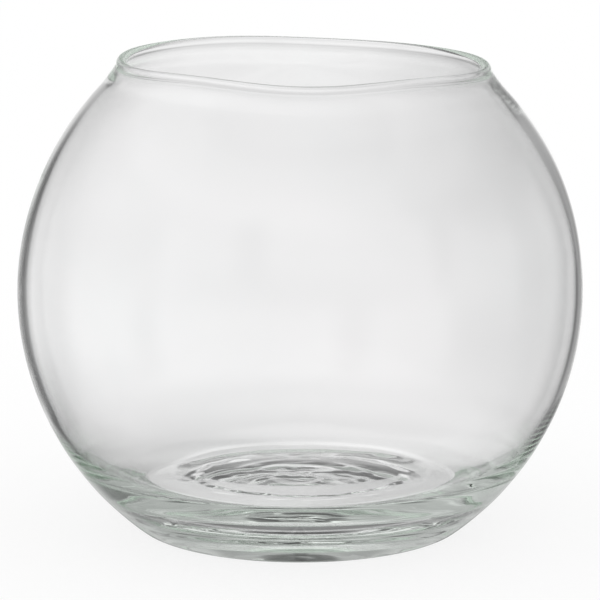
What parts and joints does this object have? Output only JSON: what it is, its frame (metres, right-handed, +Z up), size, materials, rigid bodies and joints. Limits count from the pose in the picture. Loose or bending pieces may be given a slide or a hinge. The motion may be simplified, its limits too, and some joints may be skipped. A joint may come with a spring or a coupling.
{
  "type": "rose bowl vase",
  "caption": "Low round flower vase of clear blown glass, with a flat heavy foot, a wide belly and a narrower open mouth with a rounded lip.",
  "frame": {"origin": "on the table, at the middle of the foot", "axes": "+Z up along the bowl's axis, out of the mouth; +X to the right and -Y towards the viewer in the picture"},
  "size_m": [0.1524, 0.1524, 0.1284],
  "materials": {
    "clear_glass": "fire-polished, clear with a faint green cast where it is thick"
  },
  "bodies": {
    "root": {"glass_bowl": "clear_glass"}
  },
  "joints": []
}
